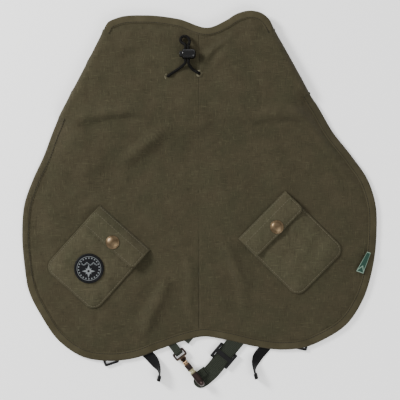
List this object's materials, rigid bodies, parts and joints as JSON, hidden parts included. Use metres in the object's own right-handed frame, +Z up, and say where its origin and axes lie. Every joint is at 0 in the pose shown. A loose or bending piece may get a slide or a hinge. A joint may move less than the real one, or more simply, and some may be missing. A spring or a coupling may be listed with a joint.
{
  "type": "dog coat",
  "caption": "Canvas dog coat laid flat, with a drawcord neck, flap pockets, bound edges, a clip-on belly strap and elastic leg straps.",
  "frame": {"origin": "middle of the coat's plan, on the floor that it lies on", "axes": "+Z up out of the coat's outside, +Y towards the neck, +X to the right seen from above"},
  "size_m": [0.4046, 0.425, 0.0269],
  "materials": {
    "canvas": "olive waxed canvas, slubby plain weave",
    "pocket_canvas": "olive canvas, slightly paler",
    "lining": "brown-green brushed lining",
    "binding": "olive twill tape",
    "cord": "black braided cord",
    "eyelet_brass": "bright brass",
    "antique_brass": "antique brass, satin",
    "badge_rubber": "black moulded rubber",
    "webbing": "dark olive ribbed webbing",
    "elastic": "black elastic webbing",
    "black_plastic": "black moulded plastic",
    "antique_bronze": "antique bronze plate",
    "spring_steel": "spring steel",
    "label_cloth": "green woven label"
  },
  "bodies": {
    "coat": {"back_panel_left": "canvas", "back_panel_right": "canvas", "back_lining": "lining", "chest_panel": "canvas", "chest_lining": "lining", "hem_binding": "binding", "neck_binding": "binding", "chest_hem_binding": "binding", "chest_neck_binding": "binding", "neck_cord_channel": "lining", "neck_cord_runs": "cord", "eyelets": "eyelet_brass", "eyelet_washers": "eyelet_brass", "neck_drawcord": "cord", "pocket_left": "pocket_canvas", "pocket_right": "pocket_canvas", "snap_stud_left": "antique_brass", "snap_stud_right": "antique_brass", "snap_post_left": "antique_brass", "snap_post_right": "antique_brass", "badge": "badge_rubber", "belly_strap": "webbing", "left_strap": "webbing", "hook_loop": "webbing", "snap_hook_eye": "antique_bronze", "leg_strap_left": "elastic", "leg_strap_right": "elastic", "leg_adjuster_left": "black_plastic", "leg_adjuster_right": "black_plastic", "leg_adjuster_tab_left": "elastic", "leg_adjuster_tab_right": "elastic", "strap_anchor_patches": "webbing"},
    "left_flap": {"pocket_flap_left": "pocket_canvas", "snap_cap_left": "antique_brass", "snap_socket_left": "antique_brass"},
    "right_flap": {"pocket_flap_right": "pocket_canvas", "snap_cap_right": "antique_brass", "snap_socket_right": "antique_brass"},
    "cord_lock": {"cord_lock_body": "black_plastic", "cord_lock_spring": "spring_steel"},
    "lock_plunger": {"cord_lock_plunger": "black_plastic"},
    "snap_hook": {"snap_hook_body": "antique_bronze", "gate_pin": "antique_bronze"},
    "hook_gate": {"snap_hook_gate": "antique_bronze", "gate_spring": "spring_steel"},
    "slider": {"strap_slider": "black_plastic"},
    "label": {"side_label": "label_cloth"}
  },
  "joints": [
    {"name": "left_flap_lift", "type": "hinge", "parent": "coat", "child": "left_flap", "pos_m": [-0.0883, -0.03475, 0.0116], "axis": [-0.745, 0.667, 0], "range_deg": [0, 150]},
    {"name": "right_flap_lift", "type": "hinge", "parent": "coat", "child": "right_flap", "pos_m": [0.07351, -0.02025, 0.0116], "axis": [-0.7011, -0.7131, 0], "range_deg": [0, 150]},
    {"name": "cord_lock_slide", "type": "slide", "parent": "coat", "child": "cord_lock", "axis": [0, 1, 0], "range_m": [-0.002, 0.002]},
    {"name": "cord_lock_press", "type": "slide", "parent": "cord_lock", "child": "lock_plunger", "axis": [1, 0, 0], "range_m": [0, 0.0025], "stiffness_N_per_m": 1200, "springref_m": -0.001, "deforming": ["cord_lock_spring"]},
    {"name": "snap_hook_swivel", "type": "hinge", "parent": "coat", "child": "snap_hook", "pos_m": [-0.011, -0.191, 0.00425], "axis": [-0.6111, 0.7916, 0], "range_deg": [0, 50]},
    {"name": "snap_gate_press", "type": "hinge", "parent": "snap_hook", "child": "hook_gate", "pos_m": [-0.01619, -0.18427, 0.01305], "axis": [-0.7916, -0.6111, 0], "range_deg": [0, 20], "stiffness_Nm_per_rad": 0.02, "springref_deg": -11.46},
    {"name": "strap_slider_slide", "type": "slide", "parent": "coat", "child": "slider", "axis": [0.6451, 0.7641, 0], "range_m": [-0.0025, 0.003]},
    {"name": "side_label_flip", "type": "hinge", "parent": "coat", "child": "label", "pos_m": [0.184, -0.084, 0.0086], "axis": [0.2846, 0.9586, 0], "range_deg": [0, 150]}
  ]
}
